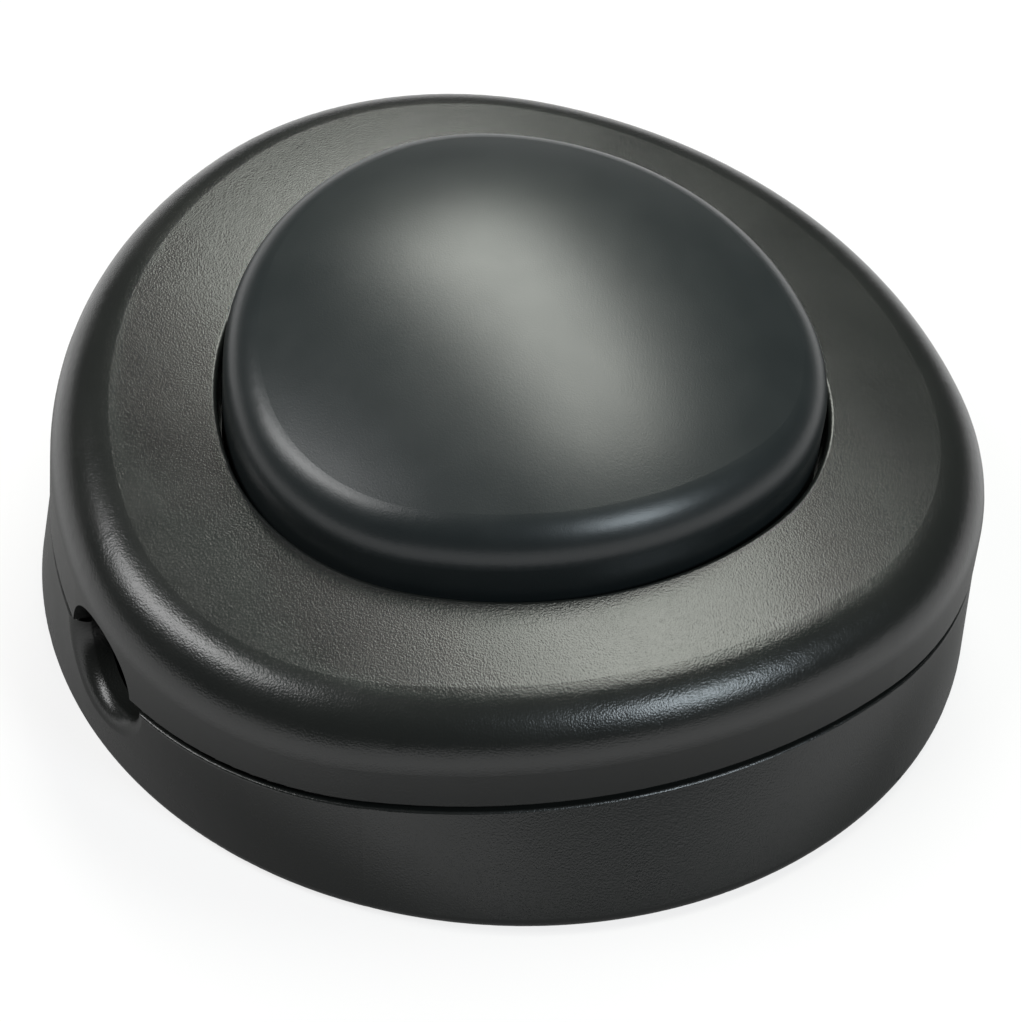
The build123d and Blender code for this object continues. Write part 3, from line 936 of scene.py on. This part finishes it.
# %% Lamps
def strip_lamp(name, polar, bearing, roll, length, width, radiance, colour):
    """A soft box half a metre away, aimed at the switch. Angles in degrees, sizes in metres."""
    distance = 0.5
    aim = Vector((0, 0, 20 * MM))
    data = bpy.data.lights.new(name, "AREA")
    data.shape = "RECTANGLE"
    data.size = length
    data.size_y = width
    data.energy = radiance * math.pi * length * width
    data.color = linear(colour)[:3]
    lamp = bpy.data.objects.new(name, data)
    tilt = math.radians(polar)
    turn = math.radians(bearing)
    flat = math.sin(tilt)
    away = Vector((flat * math.cos(turn), flat * math.sin(turn), math.cos(tilt)))
    lamp.location = aim + away * distance
    aimed = away.to_track_quat("Z", "Y").to_matrix() @ Matrix.Rotation(math.radians(roll), 3, "Z")
    lamp.rotation_euler = aimed.to_euler()
    scene.collection.objects.link(lamp)


strip_lamp(
    "key_softbox",
    polar=32,
    bearing=56.5,
    roll=-47,
    length=0.52,
    width=0.18,
    radiance=8.8,
    colour="#fcfff6",
)
strip_lamp(
    "left_softbox",
    polar=40,
    bearing=166,
    roll=46,
    length=0.36,
    width=0.15,
    radiance=8.8,
    colour="#ffffff",
)
strip_lamp(
    "front_softbox",
    polar=54,
    bearing=-61,
    roll=90,
    length=0.16,
    width=0.13,
    radiance=14.0,
    colour="#eaf7ff",
)
print("lamps", len(bpy.data.lights))

# %% [markdown]
# ## White floor
#
# The switch stands on white paper. Lit paper alone would be grey away from the lamps, so the camera
# sees mostly plain white with a share of the real, shaded paper, which keeps the shadow. Glossy and
# transmitted rays see a share of that white too, which is what the walls of the switch mirror: a
# small one close by and nearly all a little further out. The small share close by is a painted
# shadow of the switch on the paper, seen in its reflections.

# %% Air and floor
air = bpy.data.worlds.new("studio_air")
air.use_nodes = True
air.node_tree.nodes.clear()
glow = add_node(
    air.node_tree, "ShaderNodeBackground", {"Color": linear("#ffffff"), "Strength": 0.06}
)
add_node(air.node_tree, "ShaderNodeOutputWorld", {"Surface": glow.outputs["Background"]})
scene.world = air

reach = 3.0
gap_below = 0.2 * MM
floor_mesh = bpy.data.meshes.new("floor")
floor_mesh.from_pydata(
    [(-reach, -reach, 0), (reach, -reach, 0), (reach, reach, 0), (-reach, reach, 0)],
    [],
    [(0, 1, 2, 3)],
)
floor = bpy.data.objects.new("floor", floor_mesh)
scene.collection.objects.link(floor)
floor.location.z = solid_low.z - gap_below
print("floor at", round(floor.location.z / MM, 2), "mm")

# %% [markdown]
# The paper's shader first works out which share of plain white a ray sees, and then mixes that much
# white into the matt paper. For glossy and transmitted rays that share falls within 55 mm of the
# switch, a painted shadow round it. Rays that light the scene see a greyer paper than the camera
# does, so that it does not fill the shadows.

# %% Paper
camera_white = 0.8
paper, paper_tree = new_material("white_paper")
rays = add_node(paper_tree, "ShaderNodeLightPath").outputs
bent = add_node(
    paper_tree,
    "ShaderNodeMath",
    {0: rays["Is Glossy Ray"], 1: rays["Is Transmission Ray"]},
    operation="MAXIMUM",
)
paper_spot = add_node(paper_tree, "ShaderNodeTexCoord").outputs["Object"]
from_switch = add_node(paper_tree, "ShaderNodeVectorMath", {0: paper_spot}, operation="LENGTH")
# Painted shadow: less white for reflections near the switch, full white from 55 mm out.
painted_shade_near_switch = add_node(
    paper_tree,
    "ShaderNodeMapRange",
    {
        "Value": from_switch.outputs["Value"],
        "From Min": 40 * MM,
        "From Max": 55 * MM,
        "To Min": 0.24,
        "To Max": 1.0,
    },
    interpolation_type="SMOOTHSTEP",
)
# The white share that glossy and transmitted rays see, with the painted shadow near the switch.
reflected_white_with_painted_shade = add_node(
    paper_tree,
    "ShaderNodeMath",
    {0: bent.outputs[0], 1: painted_shade_near_switch.outputs["Result"]},
    operation="MULTIPLY",
)
share = add_node(
    paper_tree,
    "ShaderNodeMath",
    {0: rays["Is Camera Ray"], 1: camera_white, 2: reflected_white_with_painted_shade.outputs[0]},
    operation="MULTIPLY_ADD",
)
paper_tone = add_node(
    paper_tree,
    "ShaderNodeMix",
    {"Factor": rays["Is Camera Ray"], 6: linear("#4c4c4b"), 7: linear("#f6f6f5")},
    data_type="RGBA",
)
matt = add_node(paper_tree, "ShaderNodeBsdfDiffuse", {"Color": paper_tone.outputs[2]})
white = add_node(paper_tree, "ShaderNodeEmission", {"Color": linear("#ffffff"), "Strength": 1.0})
blended = add_node(
    paper_tree,
    "ShaderNodeMixShader",
    {0: share.outputs[0], 1: matt.outputs[0], 2: white.outputs[0]},
)
add_node(paper_tree, "ShaderNodeOutputMaterial", {"Surface": blended.outputs[0]})
floor_mesh.materials.append(paper)
print("paper shader", len(paper_tree.nodes), "nodes")

# %% [markdown]
# ## Camera
#
# The camera stands where the photograph's did, a little to the left and 45 degrees up. Its place
# was found from the outline, the button's edge and the opening's rim, and it is rolled by a few
# degrees, as a hand-held or tilted camera is. A long lens keeps the perspective mild.

# %% Camera
camera_at = Vector((-63.35, -150.02, 166.44)) * MM
camera_aim = Vector((-1.16, -5.16, 10.0)) * MM
camera_roll = 0.1036
focal_px = 3114.05
image_px = 1022
lens = bpy.data.cameras.new("camera")
lens.sensor_width = 36.0
lens.lens = focal_px / image_px * lens.sensor_width
lens.clip_start = 0.01
camera = bpy.data.objects.new("camera", lens)
forward = (camera_aim - camera_at).normalized()
level = forward.cross(Vector((0, 0, 1))).normalized()
upright = level.cross(forward)
right = level * math.cos(camera_roll) + upright * math.sin(camera_roll)
up = upright * math.cos(camera_roll) - level * math.sin(camera_roll)
turned_frame = Matrix((right, up, -forward)).transposed()
camera.matrix_world = Matrix.Translation(camera_at) @ turned_frame.to_4x4()
scene.collection.objects.link(camera)
scene.camera = camera
scene.view_settings.view_transform = "Standard"
print("lens", round(lens.lens, 1), "mm")
